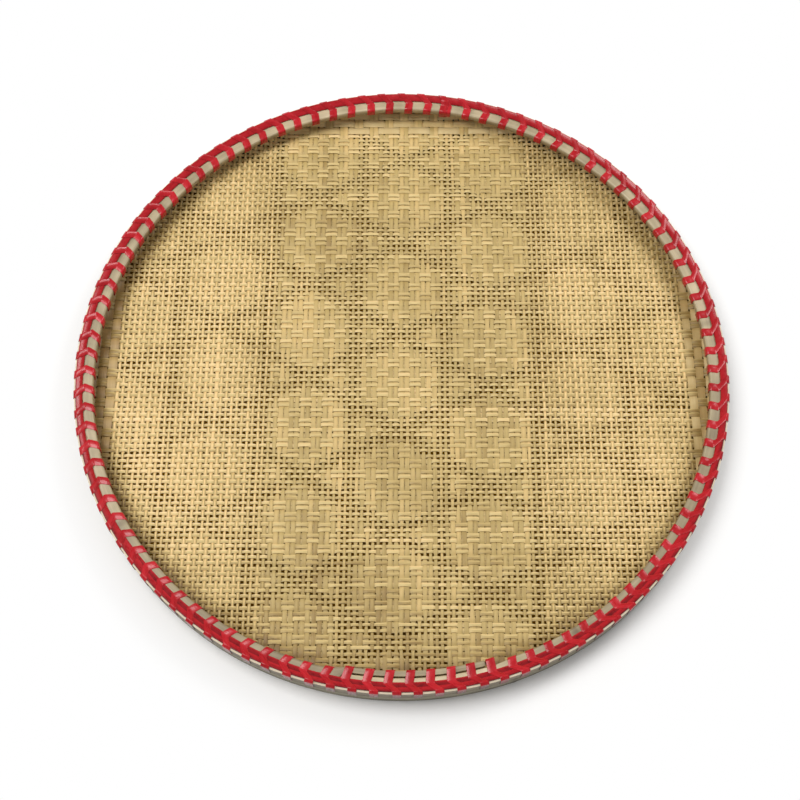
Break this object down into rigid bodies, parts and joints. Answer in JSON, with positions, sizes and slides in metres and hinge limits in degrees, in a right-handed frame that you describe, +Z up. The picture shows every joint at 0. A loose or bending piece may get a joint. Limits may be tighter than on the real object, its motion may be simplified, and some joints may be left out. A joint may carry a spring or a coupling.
{
  "type": "woven bamboo tray basket",
  "caption": "Flat round tray basket of woven bamboo splints, with a low double-hoop rim bound by a flat coloured strap.",
  "frame": {"origin": "on the table under the centre of the rim", "axes": "+Z up through the middle of the rim, +Y away from the side where the inner hoop's ends lap, +X to the right"},
  "size_m": [0.5, 0.5, 0.0301],
  "materials": {
    "woven_bamboo": "satin bamboo splints, woven",
    "border_bamboo": "satin split bamboo",
    "hoop_bamboo": "bamboo lath with grain and nodes",
    "lashing_strap": "glossy flat plastic strap"
  },
  "bodies": {
    "root": {"woven_panel": "woven_bamboo", "inner_hoop": "hoop_bamboo", "outer_hoop": "hoop_bamboo", "foot_hoop": "hoop_bamboo", "rim_binding_strip": "lashing_strap", "lashing_strap_1": "lashing_strap", "lashing_strap_2": "lashing_strap", "lashing_strap_3": "lashing_strap", "lashing_strap_4": "lashing_strap", "lashing_strap_5": "lashing_strap", "border_splint_far_inner": "border_bamboo", "border_splint_far_outer": "border_bamboo", "border_splint_left_inner": "border_bamboo", "border_splint_left_outer": "border_bamboo", "border_splint_right_inner": "border_bamboo", "border_splint_right_outer": "border_bamboo", "border_splint_near": "border_bamboo"}
  },
  "joints": []
}
